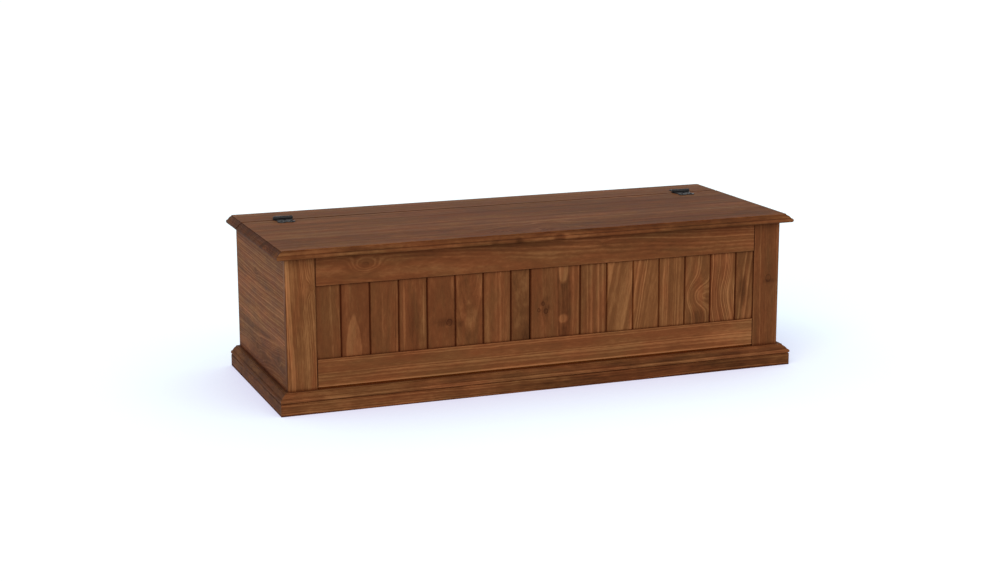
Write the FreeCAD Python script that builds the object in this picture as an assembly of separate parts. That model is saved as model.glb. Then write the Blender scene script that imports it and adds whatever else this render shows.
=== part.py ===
import FreeCAD, Part

import math
import os

# A pine blanket chest: a rebated front frame filled with upright tongued and grooved boards,
# solid sides, a boarded back, a moulded base, and a moulded top in two parts. The back part of
# the top is a fixed rail, and the lid is hung on it with two surface hinges.
#
# Millimetres. X runs along the front, +Y to the back, +Z up. The origin is on the floor, in the
# middle of the chest's overall length and depth.

Vector = FreeCAD.Vector

# ---- Carcass ----
body_width = 1252.0            # over the outer faces of the two sides
body_depth = 473.0             # from the face of the front frame to the back edges of the sides
body_height = 359.0            # floor to the underside of the lid
side_thickness = 20.0
side_low_board = 143.0         # height of the lowest board of a side; two equal ones share the rest

# ---- Front frame ----
frame_thickness = 18.0
stile_width = 70.0
top_rail_width = 69.0
bottom_rail_width = 80.0       # its lowest part is behind the base moulding
bottom_rail_lift = 40.0        # floor to the underside of the bottom rail
shadow_groove_height = 5.0     # along the bottom rail, on the top of the base moulding
shadow_groove_depth = 6.0
corner_round = 5.0             # on the outer corners of the chest
arris_round = 3.0              # on the edges around the panel and at the joints of the frame
rebate_width = 10.0            # how far the frame laps over the boards
tenon_length = 40.0
tenon_thickness = 8.0
tenon_shoulder = 2.0           # wood left between a tenon and the rebate
joint_clearance = 0.1          # each side of a tenon in its mortise
blind_clearance = 1.0          # at the end of a mortise, and round boards in a rebate

# ---- Tongued and grooved boards ----
board_thickness = 13.0
board_cover = 69.0             # visible width of a full board
infill_start = 473.0           # left edge of the panel opening to the narrow boards
infill_covers = [49.0, 69.0, 59.0]   # the ripped boards that close up the middle of the panel
smallest_end_board = 25.0
open_joint_gap = 1.5           # the one joint that has shrunk open
vee_size = 2.5
tongue_setback = 5.0           # face of a board to the near side of its tongue
tongue_thickness = 4.0
tongue_length = 6.0
tongue_clearance = 0.15        # each side of a tongue in its groove
groove_spare = 0.8             # beyond the end of the tongue

# ---- Back, floor and inner framing ----
back_thickness = 12.0
back_rebate = 10.0             # how far the back laps into each side
back_lift = 30.0               # floor to the underside of the back
back_board_count = 3
floor_thickness = 12.0
floor_clearance = 1.0          # round the floor panel
ledger_size = 20.0             # square strips that carry the floor
corner_post_size = 25.0
glue_block_size = 20.0
glue_block_length = 80.0
glue_block_spacing = 280.0
top_support_height = 40.0      # batten below the fixed rail
top_support_thickness = 20.0

# ---- Moulded edge, the same on the lid, the fixed rail and the base ----
top_thickness = 20.0
base_moulding_thickness = 21.0
edge_inset = 14.0              # from the nose back to the edge of the flat top
edge_quirk = 2.0               # height of the step at the edge of the flat top
edge_second_quirk = 0.8        # height of the step above the nose
edge_bulge = 1.0               # how far the sloping part swells
nose_radius = 5.0

# ---- Base ----
base_projection = 23.5         # nose of the base moulding beyond the body
plinth_projection = 22.5       # face of the plinth boards beyond the body
plinth_height = 29.0
plinth_ease = 1.5              # bevel on the upper edge, which leaves a groove below the nose

# ---- Top ----
lid_side_overhang = 24.0
lid_front_overhang = 24.0
rear_overhang = 3.0            # of the fixed rail beyond the back
rail_depth = 106.0             # fixed rail, front to back
seam_gap = 4.0                 # between the lid and the fixed rail
seam_ease = 1.0                # bevel on both edges of the seam
lid_board_count = 3
batten_width = 45.0
batten_thickness = 18.0
batten_inset = 170.0           # end of the lid to the centre of a batten
batten_end_clearance = 10.0    # ends of a batten from the front frame and the fixed rail
batten_ease = 4.0              # bevel on the lower edges of a batten

# ---- Hinges ----
hinge_inset = 116.0            # end of the lid to the centre of a hinge
hinge_width = 45.0
knuckle_count = 5
knuckle_radius = 4.5
knuckle_end_gap = 0.3
barrel_clearance = 0.3         # between the knuckles and the wood
leaf_thickness = 2.0
leaf_gap = 0.5                 # between a leaf and the other leaf's knuckles
leaf_trunk = 8.0               # pin axis to where the leaf starts to narrow
leaf_waist = 4.0               # how far the narrowing side curves in
lid_lobe_spread = 12.5         # centre line of the lid leaf to the centre of a lobe
fixed_lobe_spread = 6.0        # the same on the fixed leaf, which is the narrower one
lobe_distance = 34.0           # pin axis to the centres of the lobes
lobe_radius = 9.5
inner_screw_distance = 17.0    # pin axis to the single screw
pin_radius = 2.0
pin_clearance = 0.05
pin_head_radius = 3.3
pin_head_length = 2.0

# ---- Screws ----
shank_radius = 1.75
screw_length = 16.0            # below the face that the head sits in
screw_point_length = 4.0
head_radius = 3.75
head_depth = 2.0
head_crown = 0.9               # height of the domed top
slot_width = 1.0
slot_depth = 0.8
hole_clearance = 0.05
batten_screw_length = 26.0
batten_screw_inset = 30.0      # end of a batten to its outer screws

# ---- Places that follow from the sizes above ----
half_body = body_width / 2
half_length = half_body + lid_side_overhang
rear_edge_y = (lid_front_overhang + body_depth + rear_overhang) / 2
lid_front_y = -rear_edge_y
front_face_y = lid_front_y + lid_front_overhang
frame_back_y = front_face_y + frame_thickness
back_face_y = front_face_y + body_depth
back_inner_y = back_face_y - back_thickness
half_inside = half_body - side_thickness
half_opening = half_body - stile_width
top_z = body_height + top_thickness
opening_low_z = bottom_rail_lift + bottom_rail_width
opening_high_z = body_height - top_rail_width
board_face_y = frame_back_y - board_thickness
ledger_top_z = bottom_rail_lift + ledger_size
floor_top_z = ledger_top_z + floor_thickness
base_top_z = plinth_height + base_moulding_thickness
rail_front_y = rear_edge_y - rail_depth
lid_back_y = rail_front_y - seam_gap
pin_y = rail_front_y - seam_gap / 2
pin_height = knuckle_radius + barrel_clearance
pin_z = top_z + pin_height
hinge_x = half_length - hinge_inset
batten_x = half_length - batten_inset


def block(x0, x1, y0, y1, z0, z1):
    """A rectangular block between two corners."""
    return Part.makeBox(x1 - x0, y1 - y0, z1 - z0, Vector(x0, y0, z0))


def prism(points, along):
    """The solid that a closed outline sweeps along a vector."""
    return Part.Face(Part.makePolygon(points + [points[0]])).extrude(along)


def mirrored(shape):
    """The same piece at the other end of the chest."""
    return shape.mirror(Vector(0, 0, 0), Vector(1, 0, 0))


def near(a, b):
    """True where two coordinates are the same for a model in millimetres."""
    return abs(a - b) < 0.001


def rounded(shape, radius, picks):
    """The shape with a fillet on each edge whose middle point the test picks."""
    edges = [edge for edge in shape.Edges if picks(edge.CenterOfMass)]
    return shape.makeFillet(radius, edges)


# ---- Front frame ----

def tenon(rail_low, rail_high, opening_side, clearance=0.0, spare=0.0):
    """The left tenon of a rail, or with clearances the mortise that takes it."""
    low = rail_low + tenon_shoulder + rebate_width
    high = rail_high - tenon_shoulder - rebate_width
    middle_y = front_face_y + frame_thickness / 2
    return block(opening_side - tenon_length - spare, opening_side,
                 middle_y - tenon_thickness / 2 - clearance,
                 middle_y + tenon_thickness / 2 + clearance,
                 low - clearance, high + clearance)


def left_stile():
    """A full-height stile with two mortises and a stopped rebate for the boards."""
    inner = -half_opening
    profile = [Vector(-half_body, front_face_y, 0), Vector(inner, front_face_y, 0),
               Vector(inner, frame_back_y, 0), Vector(-half_body, frame_back_y, 0)]
    stile = prism(profile, Vector(0, 0, body_height))
    stile = rounded(stile, corner_round, lambda p: near(p.x, -half_body) and near(p.y, front_face_y))
    stile = rounded(stile, arris_round, lambda p: near(p.x, inner) and near(p.y, front_face_y))
    for low, high in ((bottom_rail_lift, opening_low_z), (opening_high_z, body_height)):
        stile = stile.cut(tenon(low, high, inner, joint_clearance, blind_clearance))
    rebate = block(inner - rebate_width, inner, board_face_y, frame_back_y,
                   opening_low_z - rebate_width, opening_high_z + rebate_width)
    return stile.cut(rebate)


def rail(low, high, panel_side):
    """A rail with a tenon at each end; panel_side is the height of its edge on the panel."""
    wood = block(-half_opening, half_opening, front_face_y, frame_back_y, low, high)
    wood = rounded(wood, arris_round, lambda p: near(p.y, front_face_y)
                   and (near(p.z, panel_side) or near(abs(p.x), half_opening)))
    rebate_low = min(panel_side, panel_side + math.copysign(rebate_width, low + high - 2 * panel_side))
    wood = wood.cut(block(-half_opening, half_opening, board_face_y, frame_back_y,
                          rebate_low, rebate_low + rebate_width))
    left_tenon = tenon(low, high, -half_opening)
    return wood.fuse([left_tenon, mirrored(left_tenon)]).removeSplitter()


def bottom_rail():
    """The bottom rail has a dark groove along it, right above the base moulding."""
    groove = block(-half_opening, half_opening, front_face_y, front_face_y + shadow_groove_depth,
                   base_top_z, base_top_z + shadow_groove_height)
    return rail(bottom_rail_lift, opening_low_z, opening_low_z).cut(groove)


# ---- Tongued and grooved boards ----

def board_outline(width, thickness, groove, tongue, left_vee, right_vee):
    """A board's section as (across, depth from the face), with its groove left and tongue right."""
    near_side = tongue_setback
    far_side = tongue_setback + tongue_thickness
    outline = [(0, left_vee)] if left_vee else []
    if groove:
        deep = tongue_length + groove_spare
        outline += [(0, near_side - tongue_clearance), (deep, near_side - tongue_clearance),
                    (deep, far_side + tongue_clearance), (0, far_side + tongue_clearance)]
    outline += [(0, thickness), (width, thickness)]
    if tongue:
        outline += [(width, far_side), (width + tongue_length, far_side),
                    (width + tongue_length, near_side), (width, near_side)]
    if right_vee:
        outline += [(width, right_vee)]
    return outline + [(width - right_vee, 0), (left_vee, 0)]


def end_run(space):
    """Widths that fill the space beside the narrow boards: full boards and one cut end board."""
    full = int((space - smallest_end_board) // board_cover)
    return [board_cover] * full, space - full * board_cover


def front_board_covers():
    """Visible widths of the front boards from left to right, and the indexes of the infill."""
    left_full, left_end = end_run(infill_start)
    right_full, right_end = end_run(2 * half_opening - infill_start - sum(infill_covers))
    covers = [left_end] + left_full + infill_covers + right_full + [right_end]
    first_infill = 1 + len(left_full)
    return covers, first_infill


def front_boards():
    """The upright boards, each let into the rebate of the frame from behind."""
    covers, first_infill = front_board_covers()
    last = len(covers) - 1
    open_joint = first_infill          # on the right of the first narrow board
    flush_joint = first_infill + 1     # a joint with no V
    low = opening_low_z - rebate_width
    height = opening_high_z - opening_low_z + 2 * rebate_width - blind_clearance
    boards = []
    edge = -half_opening
    for index, cover in enumerate(covers):
        left = edge + (open_joint_gap / 2 if index == open_joint + 1 else 0)
        right = edge + cover - (open_joint_gap / 2 if index == open_joint else 0)
        if index == 0:
            left -= rebate_width - blind_clearance
        if index == last:
            right += rebate_width - blind_clearance
        left_vee = 0 if index in (0, flush_joint + 1) else vee_size
        right_vee = 0 if index in (last, flush_joint) else vee_size
        outline = board_outline(right - left, board_thickness, index > 0, index < last,
                                left_vee, right_vee)
        points = [Vector(left + across, board_face_y + depth, low) for across, depth in outline]
        boards.append(prism(points, Vector(0, 0, height)))
        edge += cover
    return boards


def back_boards():
    """The back: level boards in the rebates of the two sides, tongues upwards."""
    cover = (body_height - back_lift) / back_board_count
    reach = half_inside + back_rebate - blind_clearance
    boards = []
    for index in range(back_board_count):
        low = back_lift + index * cover
        highest = index == back_board_count - 1
        outline = board_outline(cover, back_thickness, index > 0, not highest,
                                vee_size if index else 0, 0 if highest else vee_size)
        points = [Vector(-reach, back_face_y - depth, low + across) for across, depth in outline]
        boards.append(prism(points, Vector(2 * reach, 0, 0)))
    return boards


# ---- Sides, floor and inner framing ----

def left_side_boards():
    """A side of three edge-glued boards behind the front frame, rebated for the back."""
    upper = (body_height - side_low_board) / 2
    joints = [0, side_low_board, side_low_board + upper, body_height]
    side = block(-half_body, -half_inside, frame_back_y, back_face_y, 0, body_height)
    side = side.cut(block(-half_inside - back_rebate, -half_inside, back_inner_y, back_face_y,
                          0, body_height))
    return [side.common(block(-half_body, -half_inside, frame_back_y, back_face_y, low, high))
            for low, high in zip(joints, joints[1:])]


def floor_panel():
    """The floor, laid on the two ledgers."""
    return block(-half_inside + floor_clearance, half_inside - floor_clearance,
                 frame_back_y + floor_clearance, back_inner_y - floor_clearance,
                 ledger_top_z, floor_top_z)


def floor_ledger(y0):
    """A strip along the front or back wall, under the floor."""
    return block(-half_inside, half_inside, y0, y0 + ledger_size, bottom_rail_lift, ledger_top_z)


def left_corner_post(y0):
    """A post that ties a side to the front frame or to the back."""
    return block(-half_inside, -half_inside + corner_post_size, y0, y0 + corner_post_size,
                 floor_top_z, body_height)


def top_support():
    """The batten inside the back that the fixed rail is fastened down to."""
    reach = half_inside - corner_post_size
    return block(-reach, reach, back_inner_y - top_support_thickness, back_inner_y,
                 body_height - top_support_height, body_height)


def glue_blocks():
    """Square blocks in the corner behind the front plinth and below the bottom rail."""
    steps = int((half_opening - glue_block_length) // glue_block_spacing)
    centres = [step * glue_block_spacing for step in range(-steps, steps + 1)]
    return Part.makeCompound([block(x - glue_block_length / 2, x + glue_block_length / 2,
                                    front_face_y, front_face_y + glue_block_size,
                                    bottom_rail_lift - glue_block_size, bottom_rail_lift)
                              for x in centres])


# ---- Moulded edges ----

def moulded_edge(nose, outwards, top, thickness):
    """Edges of the moulding from the flat top to the underside, as a list of curves in (s, z)."""
    bottom = top - thickness
    flat_edge = nose - outwards * edge_inset
    nose_root = nose - outwards * nose_radius
    step_low = (flat_edge, top - edge_quirk)
    slope_foot = (nose_root, bottom + 2 * nose_radius + edge_second_quirk)
    run = slope_foot[0] - step_low[0]
    drop = slope_foot[1] - step_low[1]
    reach = math.hypot(run, drop)
    swell = ((step_low[0] + slope_foot[0]) / 2 + outwards * edge_bulge * abs(drop) / reach,
             (step_low[1] + slope_foot[1]) / 2 + edge_bulge * abs(run) / reach)
    return [[(flat_edge, top), step_low],
            [step_low, swell, slope_foot],
            [slope_foot, (nose_root, bottom + 2 * nose_radius)],
            [(nose_root, bottom + 2 * nose_radius), (nose, bottom + nose_radius), (nose_root, bottom)]]


def square_edge(edge, outwards, top, thickness, ease):
    """A square-cut edge with its upper corner eased, if ease isn't 0."""
    side = [(edge, top - ease), (edge, top - thickness)]
    return [[(edge - outwards * ease, top), side[0]], side] if ease else [side]


def section_solid(high_edge, low_edge, place, along):
    """Sweep the section between two edge profiles; place turns (s, z) into a point."""
    closing = [[high_edge[-1][-1], low_edge[-1][-1]]]
    upwards = [list(reversed(curve)) for curve in reversed(low_edge)]
    topping = [[low_edge[0][0], high_edge[0][0]]]
    edges = []
    for curve in high_edge + closing + upwards + topping:
        points = [place(s, z) for s, z in curve]
        line = Part.LineSegment(*points) if len(points) == 2 else Part.Arc(*points)
        edges.append(line.toShape())
    return Part.Face(Part.Wire(edges)).extrude(along)


def moulded_slab(front, back, half, top, thickness, front_moulded, front_ease=0.0, back_ease=0.0):
    """A level board with moulded ends, and a moulded or square front edge."""
    if front_moulded:
        front_edge = moulded_edge(front, -1, top, thickness)
    else:
        front_edge = square_edge(front, -1, top, thickness, front_ease)
    back_edge = square_edge(back, 1, top, thickness, back_ease)
    lengthwise = section_solid(back_edge, front_edge, lambda s, z: Vector(-half, s, z),
                               Vector(2 * half, 0, 0))
    crosswise = section_solid(moulded_edge(half, 1, top, thickness),
                              moulded_edge(-half, -1, top, thickness),
                              lambda s, z: Vector(s, front, z), Vector(0, back - front, 0))
    return lengthwise.common(crosswise)


# ---- Base ----

def mitre_prism(name, low, high):
    """The space that the front, left or right length of the base may fill."""
    margin = 10.0
    reach = max(base_projection, plinth_projection) + margin
    outer = half_body + reach
    behind = back_face_y + margin
    outlines = {
        "front": [(-half_body, front_face_y), (half_body, front_face_y),
                  (outer, front_face_y - reach), (-outer, front_face_y - reach)],
        "left": [(-half_body, front_face_y), (-outer, front_face_y - reach), (-outer, behind),
                 (-half_body, behind)],
    }
    return prism([Vector(x, y, low) for x, y in outlines[name]], Vector(0, 0, high - low))


def base_lengths(ring, low, high):
    """The front, left and right lengths of a base ring, mitred at the front corners."""
    front = ring.common(mitre_prism("front", low, high))
    left = ring.common(mitre_prism("left", low, high))
    return {"front": front, "left": left, "right": mirrored(left)}


def base_mouldings():
    """The moulded strips that lie on the plinth boards, round three sides of the body."""
    slab = moulded_slab(front_face_y - base_projection, back_face_y, half_body + base_projection,
                        base_top_z, base_moulding_thickness, True)
    return base_lengths(slab, plinth_height, base_top_z)


def plinth_boards():
    """The plain boards below the mouldings, standing on the floor."""
    reach = half_body + plinth_projection
    slab = block(-reach, reach, front_face_y - plinth_projection, back_face_y, 0, plinth_height)
    upper = [edge for edge in slab.Edges if near(edge.CenterOfMass.z, plinth_height)
             and not near(edge.CenterOfMass.y, back_face_y)]
    return base_lengths(slab.makeChamfer(plinth_ease, upper), 0, plinth_height)


# ---- Top ----

def hinge_rail():
    """The fixed back part of the top, with pilot holes for the hinge screws."""
    wood = moulded_slab(rail_front_y, rear_edge_y, half_length, top_z, top_thickness, False,
                        front_ease=seam_ease)
    return wood.cut(pilot_holes(1))


def lid_boards():
    """The lid's edge-glued boards from front to back, moulded on three sides as one slab."""
    slab = moulded_slab(lid_front_y, lid_back_y, half_length, top_z, top_thickness, True,
                        back_ease=seam_ease)
    width = (lid_back_y - lid_front_y) / lid_board_count
    boards = []
    for index in range(lid_board_count):
        front = lid_front_y + index * width
        strip = block(-half_length, half_length, front, front + width, body_height, top_z)
        boards.append(slab.common(strip))
    boards[-1] = boards[-1].cut(pilot_holes(-1))
    return [board.cut(batten_pilot_holes()) for board in boards]


def batten_span():
    """Front and back ends of a lid batten."""
    return frame_back_y + batten_end_clearance, lid_back_y - batten_end_clearance


def batten_screw_places():
    """Where the screws of one batten stand: x, y of each."""
    front, back = batten_span()
    low = front + batten_screw_inset
    high = back - batten_screw_inset
    return [(batten_x, y) for y in (low, (low + high) / 2, high)]


def batten_screws():
    """Screws driven up through the left and right battens into the lid."""
    solids = []
    for x, y in batten_screw_places():
        solid = screw(batten_screw_length, 0.0)
        solids.append(turned_up(solid, x, y))
    return both_ends(solids)


def turned_up(shape, x, y):
    """A screw or its hole turned point upwards, with its head in the underside of a batten."""
    shape.rotate(Vector(0, 0, 0), Vector(1, 0, 0), 180)
    shape.translate(Vector(x, y, body_height - batten_thickness))
    return shape


def batten_pilot_holes():
    """Room in the lid for the batten screws."""
    depth = batten_screw_length - batten_thickness + blind_clearance
    return both_ends([Part.makeCylinder(shank_radius + hole_clearance, depth, Vector(x, y, body_height))
                      for x, y in batten_screw_places()])


def right_batten():
    """A batten across the underside of the lid, bevelled below, with countersunk holes."""
    front, back = batten_span()
    low = body_height - batten_thickness
    left = batten_x - batten_width / 2
    right = batten_x + batten_width / 2
    outline = [(left, body_height), (left, low + batten_ease), (left + batten_ease, low),
               (right - batten_ease, low), (right, low + batten_ease), (right, body_height)]
    wood = prism([Vector(x, front, z) for x, z in outline], Vector(0, back - front, 0))
    for x, y in batten_screw_places():
        wood = wood.cut(turned_up(screw_hole(batten_thickness), x, y))
    return wood


# ---- Screws ----

def screw(length, crown):
    """A countersunk screw hanging below z = 0, with a slotted head that rises by crown."""
    points = [Vector(0, 0, 0), Vector(head_radius, 0, 0),
              Vector(shank_radius, 0, -head_depth),
              Vector(shank_radius, 0, -length + screw_point_length), Vector(0, 0, -length)]
    profile = Part.Face(Part.makePolygon(points + [points[0]]))
    solid = profile.revolve(Vector(0, 0, 0), Vector(0, 0, 1), 360)
    if crown:
        dome_radius = (head_radius ** 2 + crown ** 2) / (2 * crown)
        ball = Part.makeSphere(dome_radius, Vector(0, 0, crown - dome_radius))
        cap = ball.common(Part.makeCylinder(head_radius, crown, Vector(0, 0, 0)))
        solid = solid.fuse(cap).removeSplitter()
    slot = block(-head_radius, head_radius, -slot_width / 2, slot_width / 2,
                 crown - slot_depth, crown + slot_depth)
    return solid.cut(slot)


def screw_hole(depth):
    """The countersunk hole that takes a screw's head and shank, below z = 0."""
    head = Part.makeCone(shank_radius + hole_clearance, head_radius + hole_clearance, head_depth,
                         Vector(0, 0, -head_depth))
    shank = Part.makeCylinder(shank_radius + hole_clearance, depth, Vector(0, 0, -depth))
    return head.fuse(shank)


def lobe_spread(side):
    """How far a lobe stands from the centre line of its leaf; side is 1 behind the pin."""
    return fixed_lobe_spread if side > 0 else lid_lobe_spread


def leaf_screw_places(side):
    """Where a leaf's three screws stand in the hinge's own frame; side is 1 behind the pin."""
    spread = lobe_spread(side)
    return [(-spread, side * lobe_distance), (spread, side * lobe_distance),
            (0, side * inner_screw_distance)]


def hinge_screws(side):
    """The screws of the two leaves on one side of the pins."""
    solids = []
    for x, y in leaf_screw_places(side):
        solid = screw(screw_length, head_crown)
        solid.translate(Vector(hinge_x + x, pin_y + y, top_z + leaf_thickness))
        solids.append(solid)
    return both_ends(solids)


def pilot_holes(side):
    """Holes in the wood below the leaves on one side of the pins."""
    depth = screw_length - leaf_thickness + blind_clearance
    return both_ends([Part.makeCylinder(shank_radius + hole_clearance, depth,
                                        Vector(hinge_x + x, pin_y + y, top_z - depth))
                      for x, y in leaf_screw_places(side)])


def both_ends(solids):
    """The solids of the right end together with their mirror images at the left end."""
    return Part.makeCompound(solids + [mirrored(solid) for solid in solids])


# ---- Hinges, in a frame with the pin along X through the origin ----

def round_bar(radius, x0, x1):
    """A cylinder round the pin's axis, from x0 to x1."""
    return Part.makeCylinder(radius, x1 - x0, Vector(x0, 0, 0), Vector(1, 0, 0))


def leaf_plate(side):
    """A leaf: a trunk as wide as the barrel that narrows to two lobes."""
    half = hinge_width / 2
    inner = knuckle_radius + leaf_gap
    spread = lobe_spread(side)
    lobe_side = spread + lobe_radius
    cusp = lobe_distance + math.sqrt(max(lobe_radius ** 2 - spread ** 2, 0))
    crest = lobe_distance + lobe_radius
    waist = ((half + lobe_side) / 2 - leaf_waist, (leaf_trunk + lobe_distance) / 2)
    right = [[(0, inner), (half, inner)],
             [(half, inner), (half, leaf_trunk)],
             [(half, leaf_trunk), waist, (lobe_side, lobe_distance)],
             [(lobe_side, lobe_distance), (spread, crest), (0, cusp)]]
    left = [[(-x, y) for x, y in reversed(curve)] for curve in reversed(right)]
    edges = []
    for curve in right + left:
        points = [Vector(x, side * y, -pin_height) for x, y in curve]
        line = Part.LineSegment(*points) if len(points) == 2 else Part.Arc(*points)
        edges.append(line.toShape())
    plate = Part.Face(Part.Wire(edges)).extrude(Vector(0, 0, leaf_thickness))
    for x, y in leaf_screw_places(side):
        hole = screw_hole(leaf_thickness)
        hole.translate(Vector(x, y, leaf_thickness - pin_height))
        plate = plate.cut(hole)
    return plate


def leaf(side, knuckles):
    """A leaf with its knuckles bored for the pin."""
    pitch = hinge_width / knuckle_count
    solid = leaf_plate(side)
    overlap_y = side * (knuckle_radius + leaf_gap)
    for index in knuckles:
        x0 = -hinge_width / 2 + index * pitch + knuckle_end_gap / 2
        x1 = x0 + pitch - knuckle_end_gap
        web = block(x0, x1, min(0, overlap_y), max(0, overlap_y),
                    -pin_height, leaf_thickness - pin_height)
        solid = solid.fuse([round_bar(knuckle_radius, x0, x1), web])
    bore = round_bar(pin_radius + pin_clearance, -hinge_width, hinge_width)
    return solid.cut(bore).removeSplitter()


def hinge_pin():
    """The pin, with a domed head at each end."""
    half = hinge_width / 2
    solid = round_bar(pin_radius, -half, half)
    head = round_bar(pin_head_radius, half, half + pin_head_length)
    head = rounded(head, pin_head_radius / 2, lambda p: near(p.x, half + pin_head_length))
    return solid.fuse([head, mirrored(head)]).removeSplitter()


def at_right_hinge(shape):
    """Move a piece from the hinge's own frame to the right hinge."""
    moved = shape.copy()
    moved.translate(Vector(hinge_x, pin_y, pin_z))
    return moved


# ---- The chest ----

def pieces():
    """Every piece of the chest by name."""
    chest = {"front_left_stile": left_stile(),
             "front_right_stile": mirrored(left_stile()),
             "front_top_rail": rail(opening_high_z, body_height, opening_high_z),
             "front_bottom_rail": bottom_rail()}
    for index, board in enumerate(front_boards(), 1):
        chest[f"front_board_{index:02d}"] = board
    for height, board in zip(("bottom", "middle", "top"), left_side_boards()):
        chest[f"left_side_board_{height}"] = board
        chest[f"right_side_board_{height}"] = mirrored(board)
    for index, board in enumerate(back_boards(), 1):
        chest[f"back_board_{index}"] = board
    chest["floor_panel"] = floor_panel()
    chest["floor_ledger_front"] = floor_ledger(frame_back_y)
    chest["floor_ledger_back"] = floor_ledger(back_inner_y - ledger_size)
    for place, y0 in (("front", frame_back_y), ("rear", back_inner_y - corner_post_size)):
        chest[f"{place}_left_corner_post"] = left_corner_post(y0)
        chest[f"{place}_right_corner_post"] = mirrored(left_corner_post(y0))
    chest["hinge_rail_support"] = top_support()
    for side, length in base_mouldings().items():
        chest[f"base_moulding_{side}"] = length
    for side, length in plinth_boards().items():
        chest[f"plinth_{side}"] = length
    chest["plinth_glue_blocks"] = glue_blocks()
    chest["hinge_rail"] = hinge_rail()
    for index, board in enumerate(lid_boards(), 1):
        chest[f"lid_board_{index}"] = board
    chest["lid_batten_right"] = right_batten()
    chest["lid_batten_left"] = mirrored(right_batten())
    chest["lid_batten_screws"] = batten_screws()
    fixed_knuckles = range(0, knuckle_count, 2)
    lid_knuckles = range(1, knuckle_count, 2)
    hinge = {"fixed_leaf": leaf(1, fixed_knuckles), "lid_leaf": leaf(-1, lid_knuckles),
             "pin": hinge_pin()}
    for name, shape in hinge.items():
        chest[f"right_hinge_{name}"] = at_right_hinge(shape)
        chest[f"left_hinge_{name}"] = mirrored(at_right_hinge(shape))
    chest["hinge_rail_screws"] = hinge_screws(1)
    chest["hinge_lid_screws"] = hinge_screws(-1)
    return chest


os.makedirs("parts", exist_ok=True)
for node, shape in pieces().items():
    shape.exportStep(f"parts/{node}.step")
    print(f"{node}: {len(shape.Solids)} solid, {shape.Volume / 1000:.1f} cm3, valid {shape.isValid()}")
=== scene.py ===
import math

import bpy
from mathutils import Matrix, Vector


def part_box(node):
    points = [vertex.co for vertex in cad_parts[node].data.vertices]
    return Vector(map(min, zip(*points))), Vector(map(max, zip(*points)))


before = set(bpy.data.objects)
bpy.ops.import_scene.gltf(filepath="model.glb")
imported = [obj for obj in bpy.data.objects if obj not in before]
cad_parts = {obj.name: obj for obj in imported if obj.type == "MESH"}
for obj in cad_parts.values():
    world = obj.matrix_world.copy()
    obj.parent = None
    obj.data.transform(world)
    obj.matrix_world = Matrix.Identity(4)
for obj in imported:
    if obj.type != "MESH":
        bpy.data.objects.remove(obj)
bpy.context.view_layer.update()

# The camera stands a little above the lid and to the left of the chest. It sees the front
# at full length and the left side foreshortened, through a long lens.
camera_place = (-1.64992, -4.26981, 1.20987)
camera_turn = math.radians(-20.822)
camera_tilt = math.radians(90 - 12.586)
camera_roll = math.radians(-0.135)

camera_data = bpy.data.cameras.new("camera")
camera_data.sensor_width = 36
camera_data.lens = 68.300
camera_data.clip_end = 400
camera = bpy.data.objects.new("camera", camera_data)
bpy.context.scene.collection.objects.link(camera)
camera.matrix_world = (
    Matrix.Translation(camera_place)
    @ Matrix.Rotation(camera_turn, 4, "Z")
    @ Matrix.Rotation(camera_tilt, 4, "X")
    @ Matrix.Rotation(camera_roll, 4, "Z")
)
bpy.context.scene.camera = camera
bpy.context.scene.view_settings.view_transform = "Standard"


# The studio is a white floor that runs into a white background, with even light from all
# round and two large soft lamps in front. The floor shows a faint, slightly blue shadow to
# the camera, and is plain pale grey to the light that falls back on the chest.
def link(tree, value, socket):
    """Puts a value on a node's socket, or joins another node's output to it."""
    if isinstance(value, bpy.types.NodeSocket):
        tree.links.new(value, socket)
    else:
        socket.default_value = value


def add(tree, kind, values=None, **settings):
    """A new shader node, with its settings, and its inputs by their names or numbers."""
    made = tree.nodes.new("ShaderNode" + kind)
    for name, setting in settings.items():
        setattr(made, name, setting)
    for name, value in (values or {}).items():
        link(tree, value, made.inputs[name])
    return made


def reckon(tree, operation, *values):
    """A sum of one, two or three numbers, each a value or another node's output."""
    return add(tree, "Math", dict(enumerate(values)), operation=operation).outputs[0]


def blend_colour(tree, amount, first, second, way="MIX"):
    """Two colours mixed, or multiplied, by an amount."""
    made = add(tree, "Mix", {0: amount, 6: first, 7: second}, data_type="RGBA", blend_type=way)
    return made.outputs[2]


def seen_plainly(tree):
    """1 for what the camera sees, straight or in a reflection or through glass, and else 0."""
    path = add(tree, "LightPath").outputs
    seen = reckon(tree, "MAXIMUM", path["Is Camera Ray"], path["Is Glossy Ray"])
    return reckon(tree, "MAXIMUM", seen, path["Is Transmission Ray"])


world = bpy.data.worlds.new("studio")
world.use_nodes = True
bpy.context.scene.world = world
tree = world.node_tree
sky = tree.nodes["Background"]
even_light = 0.50
white = reckon(tree, "MULTIPLY_ADD", seen_plainly(tree), 1 - even_light, even_light)
link(tree, white, sky.inputs["Strength"])
sky.inputs["Color"].default_value = (1, 1, 1, 1)

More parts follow.
